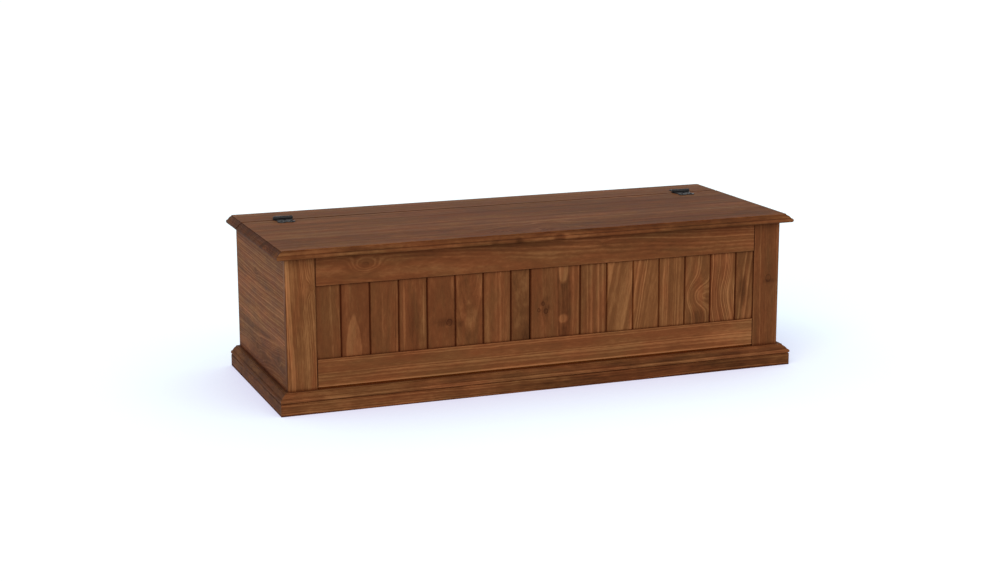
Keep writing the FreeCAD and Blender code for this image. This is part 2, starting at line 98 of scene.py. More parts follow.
floor_size = 240
floor_paint = bpy.data.materials.new("studio_floor")
floor_paint.use_nodes = True
tree = floor_paint.node_tree
tree.nodes.clear()
shadow_reach = 0.45
shadow_colour = (0.24, 0.15, 0.47, 1)
open_colour = (0.62, 0.80, 1.00, 1)
matt = add(tree, "BsdfDiffuse", {"Color": (0.50, 0.42, 0.24, 1)})
open_sky = add(tree, "AmbientOcclusion", {"Distance": shadow_reach}, samples=12).outputs["AO"]
glow_colour = blend_colour(tree, open_sky, shadow_colour, open_colour)
values = {"Value": open_sky, "From Max": 0.42, "To Min": 0.10}
glow_strength = add(tree, "MapRange", values).outputs["Result"]
glow = add(tree, "Emission", {"Color": glow_colour, "Strength": glow_strength})
both = add(tree, "AddShader", {0: matt.outputs[0], 1: glow.outputs[0]})
plain = add(tree, "BsdfDiffuse", {"Color": (0.70, 0.70, 0.70, 1)})
chosen = add(tree, "MixShader", {0: seen_plainly(tree), 1: plain.outputs[0], 2: both.outputs[0]})
add(tree, "OutputMaterial", {"Surface": chosen.outputs[0]})

bpy.ops.mesh.primitive_plane_add(size=floor_size)
floor = bpy.context.object
floor.name = "floor"
floor.data.materials.append(floor_paint)

for lamp_name, lamp_strength, lamp_spread, lamp_from in (
    ("key_lamp", 1.85, 50, (-0.60, -0.66, 0.46)),
    ("fill_lamp", 0.50, 60, (0.45, -0.80, 0.30)),
):
    lamp_data = bpy.data.lights.new(lamp_name, "SUN")
    lamp_data.energy = lamp_strength
    lamp_data.angle = math.radians(lamp_spread)
    lamp = bpy.data.objects.new(lamp_name, lamp_data)
    lamp.rotation_euler = Vector(lamp_from).to_track_quat("Z", "Y").to_euler()
    bpy.context.scene.collection.objects.link(lamp)


# The front frame is two upright stiles with a long rail tenoned between them at the top and
# at the bottom. It is knotty pine, planed smooth, stained walnut brown and sealed with a
# thin satin coat. The stain lies darker in the soft spring wood than in the hard year lines.

# Where the wood has taken most, some and least stain, and how much lighter its year lines are.
WALNUT = {
    "Dark": (0.060, 0.018, 0.0055, 1),
    "Middle": (0.158, 0.055, 0.0187, 1),
    "Light": (0.330, 0.138, 0.053, 1),
    "Year lines": 0.34,
}


def group_tree(name, inputs, outputs):
    """An empty node group with these sockets, what it is given, and what it gives back."""
    tree = bpy.data.node_groups.new(name, "ShaderNodeTree")
    kinds = {"vector": "NodeSocketVector", "colour": "NodeSocketColor", "number": "NodeSocketFloat"}
    for socket_name, kind in inputs.items():
        tree.interface.new_socket(socket_name, in_out="INPUT", socket_type=kinds[kind])
    for socket_name, kind in outputs.items():
        tree.interface.new_socket(socket_name, in_out="OUTPUT", socket_type=kinds[kind])
    return tree, tree.nodes.new("NodeGroupInput").outputs, tree.nodes.new("NodeGroupOutput").inputs


def smooth_step(tree, value, low, high, first=0.0, last=1.0):
    """Runs smoothly from first to last while the value goes from low to high."""
    values = {"Value": value, "From Min": low, "From Max": high, "To Min": first, "To Max": last}
    made = add(tree, "MapRange", values, interpolation_type="SMOOTHSTEP")
    return made.outputs["Result"]


def cloud(tree, place, shift, stretch, detail=2.0, roughness=0.5):
    """Soft noise from 0 to 1. Stretch is how often it changes in a metre of each direction."""
    values = {0: place, 1: stretch, 2: shift}
    spot = add(tree, "VectorMath", values, operation="MULTIPLY_ADD").outputs[0]
    values = {"Vector": spot, "Scale": 1.0, "Detail": detail, "Roughness": roughness}
    return add(tree, "TexNoise", values).outputs[0]


def waver(tree, *cloud_values):
    """The same noise about 0, from -0.5 to 0.5."""
    return reckon(tree, "SUBTRACT", cloud(tree, *cloud_values), 0.5)


def gather(tree, start, *shares):
    """A number with shares of other numbers added to it, each given with its share."""
    total = start
    for value, share in shares:
        total = reckon(tree, "MULTIPLY_ADD", value, share, total)
    return total


def fall_off(tree, value, rate=1.0):
    """Falls from 1 towards 0 as the value grows."""
    return reckon(tree, "EXPONENT", reckon(tree, "MULTIPLY", value, -rate))


def make_pine_group():
    """Solid wood: year rings round a heart line, cut by whatever face the board shows."""
    tree, given, result = group_tree(
        "pine",
        {
            "Place": "vector", "End": "number", "Arris light and wear": "number", "Corner": "number",
            "Patch": "number", "Swirl": "number", "Knot": "number", "Heart across": "number",
            "Heart deep": "number", "Lean": "number", "Dip": "number", "Ring": "number",
            "Wander": "number", "Seed": "number", "Tone": "number", "Figure": "number",
            "Mottle": "number", "Red": "number", "Year lines": "number", "Dark": "colour",
            "Middle": "colour", "Light": "colour",
        },
        {"Colour": "colour", "Roughness": "number", "Height": "number"},
    )
    place = given["Place"]
    along, across, deep = add(tree, "SeparateXYZ", {0: place}).outputs
    seed = given["Seed"]
    seed_steps = enumerate((7.31, 3.17, 5.53))
    moved = {axis: reckon(tree, "MULTIPLY", seed, step) for axis, step in seed_steps}
    shift = add(tree, "CombineXYZ", moved).outputs[0]

    # Distance from the heart line, which may lean across the board or dip into it.
    side = reckon(tree, "SUBTRACT", across, given["Heart across"])
    side = reckon(tree, "SUBTRACT", side, reckon(tree, "MULTIPLY", along, given["Lean"]))
    down = reckon(tree, "SUBTRACT", deep, given["Heart deep"])
    down = reckon(tree, "SUBTRACT", down, reckon(tree, "MULTIPLY", along, given["Dip"]))
    square = reckon(tree, "MULTIPLY_ADD", side, side, reckon(tree, "MULTIPLY", down, down))
    radius = reckon(tree, "ADD", reckon(tree, "SQRT", square), given["Swirl"])
    slow = waver(tree, place, shift, (3.0, 11.0, 11.0), 1.0)
    quick = cloud(tree, place, shift, (16.0, 50.0, 50.0), 2.0)
    ripple = 0.0030
    radius = gather(tree, radius, (slow, given["Wander"]), (quick, ripple))

    # Good and bad years make wide and narrow rings, and strong and weak lines.
    uneven_years = 2.4
    count = reckon(tree, "DIVIDE", radius, given["Ring"])
    values = {"W": reckon(tree, "MULTIPLY_ADD", count, 0.37, seed), "Scale": 1.0, "Detail": 1.0}
    years = add(tree, "TexNoise", values, noise_dimensions="1D").outputs[0]
    count = reckon(tree, "MULTIPLY_ADD", years, uneven_years, count)
    part = reckon(tree, "FRACT", count)
    year = reckon(tree, "FLOOR", count)
    rise = smooth_step(tree, part, 0.10, 0.72)
    line = reckon(tree, "MULTIPLY", rise, smooth_step(tree, part, 0.74, 1.0, 1.0, 0.0))
    values = {"W": reckon(tree, "ADD", year, seed)}
    strength = add(tree, "TexWhiteNoise", values, noise_dimensions="1D").outputs[0]
    line = reckon(tree, "MULTIPLY", line, reckon(tree, "ADD", strength, 0.1))

    # Streaks follow the rings. Fibres make hair lines, and the stain blotches the soft wood.
    ring_pull = 13.0
    values = {0: along, 1: reckon(tree, "MULTIPLY", radius, ring_pull), 2: across}
    bent = add(tree, "CombineXYZ", values).outputs[0]
    band = waver(tree, bent, shift, (4.0, 3.4, 12.0), 2.0)
    streak = waver(tree, bent, shift, (13.0, 14.0, 60.0), 3.0, 0.6)
    fine = waver(tree, bent, shift, (50.0, 29.0, 150.0), 2.0, 0.7)
    hair = waver(tree, place, shift, (60.0, 1300.0, 1300.0), 1.0)
    blotch = waver(tree, place, shift, (18.0, 38.0, 38.0), 4.0, 0.65)

    # The shade runs from 0, the dark stain, through 0.5, the middle one, to 1, the light one.
    figure = gather(tree, 0.0, (line, given["Year lines"]), (streak, 0.34), (band, 0.36))
    shade = gather(
        tree, 0.45, (figure, given["Figure"]), (fine, 0.42), (hair, 0.16),
        (blotch, given["Mottle"]), (given["Patch"], 1.0), (given["Knot"], -0.42),
        (given["End"], -0.45), (given["Arris light and wear"], 0.16),
    )
    lower_half = add(tree, "MapRange", {"Value": shade, "From Max": 0.5}).outputs["Result"]
    upper_half = add(tree, "MapRange", {"Value": shade, "From Min": 0.5}).outputs["Result"]
    colour = blend_colour(tree, lower_half, given["Dark"], given["Middle"])
    colour = blend_colour(tree, upper_half, colour, given["Light"])

    # Some parts lean to red and some to yellow, and the corners are darkened with painted shade together
    # with pooled stain.
    reddish = (1.07, 0.95, 0.90, 1)
    yellowish = (0.95, 1.03, 0.98, 1)
    pooled_stain_and_shade = (0.35, 0.165, 0.03, 1)
    warm = cloud(tree, place, shift, (6.0, 30.0, 30.0), 3.0, 0.6)
    warm = smooth_step(tree, reckon(tree, "SUBTRACT", warm, given["Red"]), 0.3, 0.7)
    tint = blend_colour(tree, warm, reddish, yellowish)
    colour = blend_colour(tree, 1.0, colour, tint, "MULTIPLY")
    # The corner mask multiplies in a dark warm colour: painted shade in corners and vees, with the stain
    # pooled there.
    corner_darkening = blend_colour(tree, given["Corner"], (1, 1, 1, 1), pooled_stain_and_shade)
    colour = blend_colour(tree, 1.0, colour, corner_darkening, "MULTIPLY")
    tone = given["Tone"]
    grey = add(tree, "CombineColor", {0: tone, 1: tone, 2: tone}).outputs[0]
    colour = blend_colour(tree, 1.0, colour, grey, "MULTIPLY")
    tree.links.new(colour, result["Colour"])

    # Year lines are glossier than the soft wood, and stand a little above it.
    corner = given["Corner"]
    dullness = gather(tree, 0.66, (blotch, 0.20), (line, -0.07), (hair, 0.16), (corner, 0.15))
    tree.links.new(dullness, result["Roughness"])
    knot = given["Knot"]
    height = gather(tree, 0.0, (line, 0.30), (hair, 0.55), (streak, 0.50), (knot, 0.25))
    tree.links.new(height, result["Height"])
    return tree


def make_knot_group():
    """A knot on the face: a dark end-grain eye, a ring of bark, and grain pushed round it."""
    tree, given, result = group_tree(
        "pine_knot",
        {
            "Place": "vector", "Along": "number", "Across": "number", "Size": "number",
            "Reach": "number", "Push": "number", "Eye": "number", "Core": "number",
        },
        {"Swirl": "number", "Knot": "number"},
    )
    place = given["Place"]
    size = given["Size"]
    along, across, _ = add(tree, "SeparateXYZ", {0: place}).outputs
    along = reckon(tree, "DIVIDE", reckon(tree, "SUBTRACT", along, given["Along"]), size)
    across = reckon(tree, "DIVIDE", reckon(tree, "SUBTRACT", across, given["Across"]), size)
    along_square = reckon(tree, "MULTIPLY", along, along)
    across_square = reckon(tree, "MULTIPLY", across, across)

    # Distances count in knot sizes, and a knot is a little longer along the grain.
    flatness = 0.85
    ragged = waver(tree, place, (0.0, 0.0, 0.0), (90.0, 90.0, 90.0), 2.0)
    long_way = reckon(tree, "MULTIPLY", along, flatness)
    far = reckon(tree, "SQRT", gather(tree, across_square, (long_way, long_way)))
    far = gather(tree, far, (ragged, 0.7))
    eye = smooth_step(tree, far, 0.35, 1.15, 1.0, 0.0)
    rings = reckon(tree, "SINE", reckon(tree, "MULTIPLY", far, 15.0))
    eye = reckon(tree, "MULTIPLY", eye, gather(tree, 0.38, (rings, 0.22)))
    from_bark = reckon(tree, "SUBTRACT", far, 1.0)
    bark = fall_off(tree, reckon(tree, "MULTIPLY", from_bark, from_bark), 14.0)
    dark = reckon(tree, "MAXIMUM", eye, bark)
    halo = fall_off(tree, gather(tree, 0.0, (along_square, 0.07), (across_square, 0.30)))
    dark = reckon(tree, "MAXIMUM", dark, reckon(tree, "MULTIPLY", halo, 0.30))
    tree.links.new(reckon(tree, "MULTIPLY", dark, given["Core"]), result["Knot"])

    # The push fades with distance, further along the grain than across it.
    stretched = reckon(tree, "DIVIDE", along, given["Reach"])
    fade = reckon(tree, "MULTIPLY", stretched, stretched)
    fade = fall_off(tree, gather(tree, fade, (across_square, 0.16)))
    width = reckon(tree, "SQRT", reckon(tree, "ADD", across_square, 0.5))
    sideways = reckon(tree, "MULTIPLY", reckon(tree, "DIVIDE", across, width), given["Push"])
    swirl = reckon(tree, "MULTIPLY", reckon(tree, "ADD", sideways, given["Eye"]), size)
    tree.links.new(reckon(tree, "MULTIPLY", swirl, fade), result["Swirl"])
    return tree


def make_stain_and_painted_light_group():
    """An oval on the face, soft at its rim, where the stain has taken more or less, and in a few places
    painted shade and painted light instead.
    """
    tree, given, result = group_tree(
        "stain_and_painted_light_patch",
        {
            "Place": "vector", "Along": "number", "Across": "number",
            "Half length": "number", "Half width": "number", "Soft": "number",
        },
        {"Patch": "number"},
    )
    place = given["Place"]
    along, across, _ = add(tree, "SeparateXYZ", {0: place}).outputs
    ragged = waver(tree, place, (0.0, 0.0, 0.0), (22.0, 60.0, 60.0), 2.0)
    along = reckon(tree, "SUBTRACT", along, given["Along"])
    along = reckon(tree, "DIVIDE", along, given["Half length"])
    across = reckon(tree, "SUBTRACT", across, given["Across"])
    across = reckon(tree, "DIVIDE", across, given["Half width"])
    far = reckon(tree, "MULTIPLY_ADD", along, along, reckon(tree, "MULTIPLY", across, across))
    far = gather(tree, reckon(tree, "SQRT", far), (ragged, 0.35))
    inner = reckon(tree, "SUBTRACT", 1.0, given["Soft"])
    tree.links.new(smooth_step(tree, far, inner, 1.0, 1.0, 0.0), result["Patch"])
    return tree


pine_group = make_pine_group()
knot_group = make_knot_group()
stain_and_painted_light_group = make_stain_and_painted_light_group()
AXES = {"x": Vector((1, 0, 0)), "y": Vector((0, 1, 0)), "z": Vector((0, 0, 1))}
mm = 0.001


def use_group(tree, group, values):
    """One use of a node group in a material's tree."""
    made = tree.nodes.new("ShaderNodeGroup")
    made.node_tree = group
    for name, value in values.items():
        link(tree, value, made.inputs[name])
    return made.outputs


def new_paint(piece, name):
    """A new material on a piece, as its node tree and its shader."""
    paint = bpy.data.materials.new(name)
    paint.use_nodes = True
    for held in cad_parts[piece].material_slots:
        held.material = paint
    return paint.node_tree, paint.node_tree.nodes["Principled BSDF"]


def knot(at, size, reach, push, eye, core):
    """A knot at a point in mm. Push drives the grain aside and eye draws rings round it, over
    the reach in knot sizes, and core is how dark the knot itself is."""
    values = {"Size": size * mm, "Reach": reach, "Push": push, "Eye": eye, "Core": core}
    return Vector(at) * mm, values


def stain_and_painted_light(at, half_length, half_width, lighter, soft):
    """An oval about a point in mm that is lighter, or darker below 0, with a soft rim. Most mark the
    stain, and a few are painted shade and painted light.
    """
    values = {"Half length": half_length * mm, "Half width": half_width * mm, "Soft": soft}
    return Vector(at) * mm, values, lighter


def board_axes(grain, face):
    """A board's own axes as columns: along its grain, across it, and out of its face."""
    along = AXES[grain]
    out = AXES[face[-1]] * (-1 if face[0] == "-" else 1)
    return Matrix((along, out.cross(along), out)).transposed()


def facing(tree, normal, axis):
    """How squarely the surface faces along an axis, from 0 to 1."""
    slope = add(tree, "VectorMath", {0: normal, 1: axis}, operation="DOT_PRODUCT").outputs["Value"]
    return reckon(tree, "ABSOLUTE", slope)


def wood(name, grain, face, seed, finish=WALNUT, centre=None, ring=5.0, heart=(60, -45),
         lean=0.0, dip=0.0, wander=9.0, tone=1.0, figure=1.0, mottle=0.34, red=0.0, arris_light_and_wear=0.0,
         edge=0.0, vee=False, knots=(), stains_and_painted_light=(), shine=0.065):
    """The wood of one board. Its grain and its face are axes, and lengths are in mm. The
    heart is how far the log's middle lies across and behind the middle of the face, and it
    leans and dips by so much along the grain. Rings are one year wide and wander about.
    Above 0, red is redder, and the arris and edge marks are lighter, on the arrises and the edges. The
    arris mark is rubbed wood with a painted highlight, and painted shade below 0. The edge mark is
    painted light, and painted shade below 0."""
    low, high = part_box(name)
    centre = Vector(centre) if centre else (low + high) / 2
    board = board_axes(grain, face)
    tree, shader = new_paint(name, name + "_wood")
    where = add(tree, "TexCoord").outputs
    values = {"Vector": where["Object"], "Location": centre, "Rotation": board.to_euler()}
    place = add(tree, "Mapping", values, vector_type="TEXTURE").outputs[0]

    # Stain soaks into end grain. Corners and vees get painted shade with some pooled stain, and arrises
    # get wear with a painted highlight.
    end = smooth_step(tree, facing(tree, where["Normal"], board.col[0]), 0.15, 0.50)
    corner_reach = 0.010
    open_sky = add(tree, "AmbientOcclusion", {"Distance": corner_reach}, samples=6).outputs["AO"]
    corner = smooth_step(tree, open_sky, 0.42, 0.93, 1.0, 0.0)
    squarely = facing(tree, where["Normal"], board.col[2])
    if vee:
        in_vee = smooth_step(tree, squarely, 0.80, 0.97, 0.8, 0.0)
        corner = reckon(tree, "MAXIMUM", corner, in_vee)
    arris_light_and_rubbing = 0.0
    if arris_light_and_wear:
        off_face = smooth_step(tree, squarely, 0.93, 0.995, 1.0, 0.0)
        off_edge = smooth_step(tree, squarely, 0.70, 0.86, 0.0, arris_light_and_wear)
        arris_light_and_rubbing = reckon(tree, "MULTIPLY", off_face, off_edge)

    swirl = 0.0
    dark_knot = 0.0
    # Faces turned away from the board's face take the edge mark: painted light above 0, painted shade
    # below 0.
    patch = smooth_step(tree, squarely, 0.50, 0.80, edge, 0.0)
    for point, values in knots:
        spot = board.transposed() @ (point - centre)
        values = {"Place": place, "Along": spot.x, "Across": spot.y, **values}
        found = use_group(tree, knot_group, values)
        swirl = reckon(tree, "ADD", swirl, found["Swirl"])
        dark_knot = reckon(tree, "MAXIMUM", dark_knot, found["Knot"])
    for point, values, lighter in stains_and_painted_light:
        spot = board.transposed() @ (point - centre)
        values = {"Place": place, "Along": spot.x, "Across": spot.y, **values}
        found = use_group(tree, stain_and_painted_light_group, values)
        patch = reckon(tree, "MULTIPLY_ADD", found["Patch"], lighter, patch)
    found = use_group(tree, pine_group, {
        "Place": place, "End": end, "Arris light and wear": arris_light_and_rubbing, "Corner": corner, "Patch": patch,
        "Swirl": swirl, "Knot": dark_knot, "Heart across": heart[0] * mm,
        "Heart deep": heart[1] * mm, "Lean": lean, "Dip": dip, "Ring": ring * mm,
        "Wander": wander * mm, "Seed": seed, "Tone": tone, "Figure": figure,
        "Mottle": mottle, "Red": red, **finish,
    })
    tree.links.new(found["Colour"], shader.inputs["Base Color"])
    tree.links.new(found["Roughness"], shader.inputs["Roughness"])
    grain_height = 0.0004
    values = {"Height": found["Height"], "Strength": 0.35, "Distance": grain_height}
    tree.links.new(add(tree, "Bump", values).outputs[0], shader.inputs["Normal"])
    shader.inputs["Specular IOR Level"].default_value = shine


frame_face = -226
# The frame's arrises are rubbed lighter with a painted highlight, and faces turned from the front get
# painted shade.
wood("front_left_stile", "z", "-y", seed=1.3, ring=4.2, heart=(-110, -40), lean=0.03, wander=14,
     tone=1.03, figure=1.1, red=-0.10, arris_light_and_wear=1.4, edge=-0.32,
     knots=[knot(at=(-565, frame_face, 288), size=5, reach=4.5, push=1.8, eye=0.6, core=0.4)],
     stains_and_painted_light=[stain_and_painted_light(at=(-600, frame_face, 310), half_length=60, half_width=40, lighter=0.10, soft=0.8)])
wood("front_right_stile", "z", "-y", seed=2.1, ring=4.0, heart=(55, -60), wander=8, tone=0.82,
     figure=0.6, red=0.08, arris_light_and_wear=1.4, edge=-0.32,
     knots=[knot(at=(596, frame_face, 219), size=7, reach=4.0, push=0.8, eye=0.0, core=0.7)],
     stains_and_painted_light=[stain_and_painted_light(at=(600, frame_face, 212), half_length=9, half_width=30, lighter=-0.16, soft=0.8)])
wood("front_top_rail", "x", "-y", seed=3.7, ring=5.0, heart=(-24, -48), lean=-0.043, wander=12,
     tone=0.94, figure=0.75, red=0.06, arris_light_and_wear=1.2, edge=-0.32,
     knots=[knot(at=(-438, frame_face, 332), size=6.5, reach=5.0, push=0.0, eye=3.0, core=0.25),
            knot(at=(153, frame_face, 336), size=4, reach=5.0, push=0.8, eye=0.3, core=0.4)],
     stains_and_painted_light=[stain_and_painted_light(at=(-438, frame_face, 331), half_length=30, half_width=13, lighter=-0.12, soft=0.8),
             # The next two darker bands along the top of the rail are a painted shadow under the lid's
             # overhang.
             stain_and_painted_light(at=(-300, frame_face, 345), half_length=70, half_width=7, lighter=-0.16, soft=0.8),
             stain_and_painted_light(at=(-80, frame_face, 345), half_length=220, half_width=16, lighter=-0.14, soft=0.9),
             stain_and_painted_light(at=(260, frame_face, 318), half_length=330, half_width=40, lighter=-0.10, soft=0.9)])
wood("front_bottom_rail", "x", "-y", seed=4.2, ring=7.0, heart=(75, -30), wander=6, tone=1.01,
     figure=0.70, arris_light_and_wear=1.2, edge=-0.32,
     stains_and_painted_light=[stain_and_painted_light(at=(60, frame_face, 82), half_length=900, half_width=1.6, lighter=0.24, soft=0.9),
             # The next band lifts the shadow groove above the base moulding with painted light.
             stain_and_painted_light(at=(0, frame_face, 53), half_length=900, half_width=6, lighter=0.85, soft=0.3),
             stain_and_painted_light(at=(560, frame_face, 85), half_length=230, half_width=50, lighter=0.20, soft=0.9)])


# The field of the front is seventeen tongued and grooved boards with small vees at their
# joints, let into a rebate behind the frame. Some are ripped narrower to fit. They come
# from several logs, so straight grain stands beside flames and knots.
field = -221
board_cuts = [
    dict(tone=0.88, ring=7, heart=(30, -45), lean=0.02, figure=0.42),
    dict(tone=0.81, ring=9, heart=(-20, -60), figure=0.4, red=0.18,
         stains_and_painted_light=[stain_and_painted_light(at=(-467, field, 108), half_length=112, half_width=20, lighter=0.25, soft=0.12)]),
    dict(tone=0.92, ring=9, heart=(22, -34), dip=0.03, wander=20, figure=1.0,
         stains_and_painted_light=[stain_and_painted_light(at=(-367, field, 200), half_length=110, half_width=12, lighter=-0.14, soft=0.8),
                 stain_and_painted_light(at=(-398, field, 205), half_length=90, half_width=3, lighter=0.20, soft=0.8)]),
    dict(tone=0.89, ring=9, heart=(-38, -24), wander=18, figure=0.3,
         stains_and_painted_light=[stain_and_painted_light(at=(-346, field, 200), half_length=120, half_width=4.5, lighter=0.30, soft=0.8),
                 stain_and_painted_light(at=(-322, field, 180), half_length=90, half_width=18, lighter=-0.18, soft=0.7),
                 stain_and_painted_light(at=(-299, field, 210), half_length=110, half_width=3, lighter=0.22, soft=0.8)]),
    dict(tone=0.86, ring=8, heart=(30, -60), figure=0.4, mottle=0.6, red=0.05,
         knots=[knot(at=(-236, field, 178), size=6.0, reach=3.0, push=1.2, eye=0.2, core=0.8)],
         stains_and_painted_light=[stain_and_painted_light(at=(-228, field, 262), half_length=45, half_width=5, lighter=0.20, soft=0.8),
                 stain_and_painted_light(at=(-245, field, 180), half_length=15, half_width=44, lighter=-0.22, soft=0.9),
                 stain_and_painted_light(at=(-241, field, 170), half_length=6, half_width=9, lighter=0.14, soft=0.9)]),
    dict(tone=0.93, ring=7, heart=(0, -30), dip=0.12, wander=18, figure=0.5, mottle=0.8,
         knots=[knot(at=(-199, field, 225), size=3, reach=4.0, push=0.9, eye=0.3, core=0.5),
                knot(at=(-168, field, 234), size=3, reach=4.0, push=0.9, eye=0.3, core=0.5)],
         stains_and_painted_light=[stain_and_painted_light(at=(-210, field, 176), half_length=14, half_width=16, lighter=-0.20, soft=0.9),
                 stain_and_painted_light(at=(-196, field, 268), half_length=34, half_width=20, lighter=-0.16, soft=0.9)]),
    dict(tone=0.97, ring=9, heart=(45, -40), figure=0.6),
    dict(tone=0.81, ring=9, heart=(0, -45), dip=0.1, figure=0.5, mottle=0.9, red=-0.10,
         stains_and_painted_light=[stain_and_painted_light(at=(-30, field, 128), half_length=30, half_width=40, lighter=-0.20, soft=0.8),
                 stain_and_painted_light(at=(-50, field, 190), half_length=16, half_width=22, lighter=-0.16, soft=0.8),
                 stain_and_painted_light(at=(-66, field, 232), half_length=22, half_width=10, lighter=0.12, soft=0.9)]),
    dict(tone=0.88, ring=7, heart=(20, -40), figure=0.5,
         knots=[knot(at=(-1, field, 203), size=3.5, reach=3.0, push=0.6, eye=0.8, core=1.5),
                knot(at=(-12, field, 188), size=3.5, reach=3.0, push=0.6, eye=0.6, core=1.3),
                knot(at=(6, field, 184), size=4.5, reach=3.0, push=0.6, eye=0.6, core=1.5)],
         stains_and_painted_light=[stain_and_painted_light(at=(0, field, 198), half_length=26, half_width=18, lighter=-0.06, soft=0.9),
                 stain_and_painted_light(at=(10, field, 214), half_length=12, half_width=10, lighter=-0.20, soft=0.8),
                 stain_and_painted_light(at=(-6, field, 195), half_length=7, half_width=6, lighter=0.22, soft=0.8),
                 stain_and_painted_light(at=(13, field, 193), half_length=10, half_width=6, lighter=-0.16, soft=0.8)]),
    dict(tone=0.93, ring=8, heart=(50, -40), figure=0.6,
         stains_and_painted_light=[stain_and_painted_light(at=(51, field, 284), half_length=42, half_width=15, lighter=0.50, soft=0.3),
                 stain_and_painted_light(at=(51, field, 163), half_length=14, half_width=15, lighter=0.36, soft=0.4),
                 stain_and_painted_light(at=(52, field, 205), half_length=150, half_width=19, lighter=-0.24, soft=0.18),
                 stain_and_painted_light(at=(51, field, 130), half_length=20, half_width=15, lighter=-0.12, soft=0.5)]),
    dict(tone=0.90, ring=12, heart=(85, -30), figure=0.9,
         stains_and_painted_light=[stain_and_painted_light(at=(125, field, 200), half_length=120, half_width=12, lighter=-0.10, soft=0.9)]),
    dict(tone=1.05, ring=24, heart=(60, -24), lean=-0.20, figure=0.9, red=-0.1,
         stains_and_painted_light=[stain_and_painted_light(at=(168, field, 280), half_length=50, half_width=10, lighter=0.22, soft=0.9)]),
    dict(tone=1.15, ring=12, heart=(-64, -26), lean=-0.16, figure=0.9, red=-0.15),
    dict(tone=1.08, ring=9, heart=(75, -30), lean=-0.03, figure=1.1, red=-0.12,
         stains_and_painted_light=[stain_and_painted_light(at=(315, field, 215), half_length=90, half_width=8, lighter=0.10, soft=0.9)]),
    dict(tone=0.99, ring=7, heart=(50, -45), lean=-0.10, figure=0.9, red=-0.08,
         knots=[knot(at=(411, field, 190), size=13, reach=2.4, push=0.0, eye=2.6, core=0.0)],
         stains_and_painted_light=[stain_and_painted_light(at=(404, field, 136), half_length=30, half_width=40, lighter=-0.24, soft=0.9),
                 stain_and_painted_light(at=(431, field, 178), half_length=14, half_width=14, lighter=-0.24, soft=0.9),
                 stain_and_painted_light(at=(410, field, 196), half_length=24, half_width=12, lighter=0.14, soft=0.9)]),
    dict(tone=0.93, ring=4.6, heart=(70, -30), lean=0.04, figure=1.5, wander=10, red=0.0,
         knots=[knot(at=(474, field, 180), size=14, reach=4.0, push=0.0, eye=1.0, core=0.0)]),
    dict(tone=0.86, ring=10, heart=(30, -25), lean=-0.12, figure=1.1, red=-0.05,
         stains_and_painted_light=[stain_and_painted_light(at=(530, field, 190), half_length=55, half_width=13, lighter=-0.32, soft=0.8)]),
]
tongue = 6
first_seed = 11.1
seed_step = 1.7
for number, cut in enumerate(board_cuts):
    name = "front_board_%02d" % (number + 1)
    low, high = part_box(name)
    has_tongue = number < len(board_cuts) - 1
    right = high.x - (tongue * mm if has_tongue else 0)
    middle = ((low.x + right) / 2, field * mm, (low.z + high.z) / 2)
    seed = first_seed + seed_step * number
    wood(name, "z", "-y", seed, centre=middle, vee=True, **cut)


# The two sides are wide panels glued up from three boards, with the grain running from
# front to back. They butt against the front stiles and are glued to posts in the corners.
for number, side in enumerate(("left", "right")):
    face = "-x" if side == "left" else "x"
    outside = -626 if side == "left" else 626
    wood(side + "_side_board_bottom", "y", face, seed=31.5 + number, ring=3.0, heart=(-12, -30),
         lean=0.05, wander=22, tone=0.67, figure=1.4, mottle=1.0, shine=0.05,
         knots=[knot(at=(outside, 57, 93), size=6, reach=3.0, push=0.5, eye=0.3, core=0.7),
                knot(at=(outside, -145, 107), size=5, reach=3.0, push=0.5, eye=0.3, core=0.8)],
         stains_and_painted_light=[stain_and_painted_light(at=(outside, -60, 82), half_length=120, half_width=16, lighter=-0.20, soft=0.9),
                 stain_and_painted_light(at=(outside, 170, 95), half_length=90, half_width=50, lighter=0.16, soft=0.9)])
    wood(side + "_side_board_middle", "y", face, seed=33.5 + number, ring=3.4, heart=(-150, -40),
         wander=18, tone=0.88, figure=1.4, mottle=0.6, shine=0.055)
    wood(side + "_side_board_top", "y", face, seed=35.5 + number, ring=3.4, heart=(140, -50),
         wander=18, tone=0.82, figure=1.4, mottle=0.6, shine=0.055,
         knots=[knot(at=(outside, 55, 280), size=6, reach=4.0, push=0.8, eye=0.4, core=0.6)],
         # This darker band high on the side is a painted shadow under the end of the lid.
         stains_and_painted_light=[stain_and_painted_light(at=(outside, 110, 352), half_length=120, half_width=16, lighter=-0.22, soft=0.9)])


# The back is three wide tongued boards let into rebates in the sides. The floor of the
# chest is a sheet of plywood on two ledgers, with posts glued in the corners of the case.
# Only the back is stained. The rest is bare wood, whose year lines are darker.
BARE = {
    "Dark": (0.290, 0.135, 0.050, 1),
    "Middle": (0.560, 0.350, 0.170, 1),
    "Light": (0.720, 0.520, 0.300, 1),
    "Year lines": -0.45,
}
for number in range(3):
    wood("back_board_%d" % (number + 1), "x", "y", seed=41.5 + number, ring=6.0, heart=(20, -50))
wood("floor_panel", "x", "z", seed=45.1, finish=BARE, ring=9.0, heart=(10, -70), dip=0.06)
for number, name in enumerate((
    "floor_ledger_front", "floor_ledger_back", "hinge_rail_support", "plinth_glue_blocks",
)):
    wood(name, "x", "z", seed=47.3 + number, finish=BARE)
for number, name in enumerate((
    "front_left_corner_post", "front_right_corner_post",
    "rear_left_corner_post", "rear_right_corner_post",
)):
    wood(name, "z", "-y", seed=52.3 + number, finish=BARE)


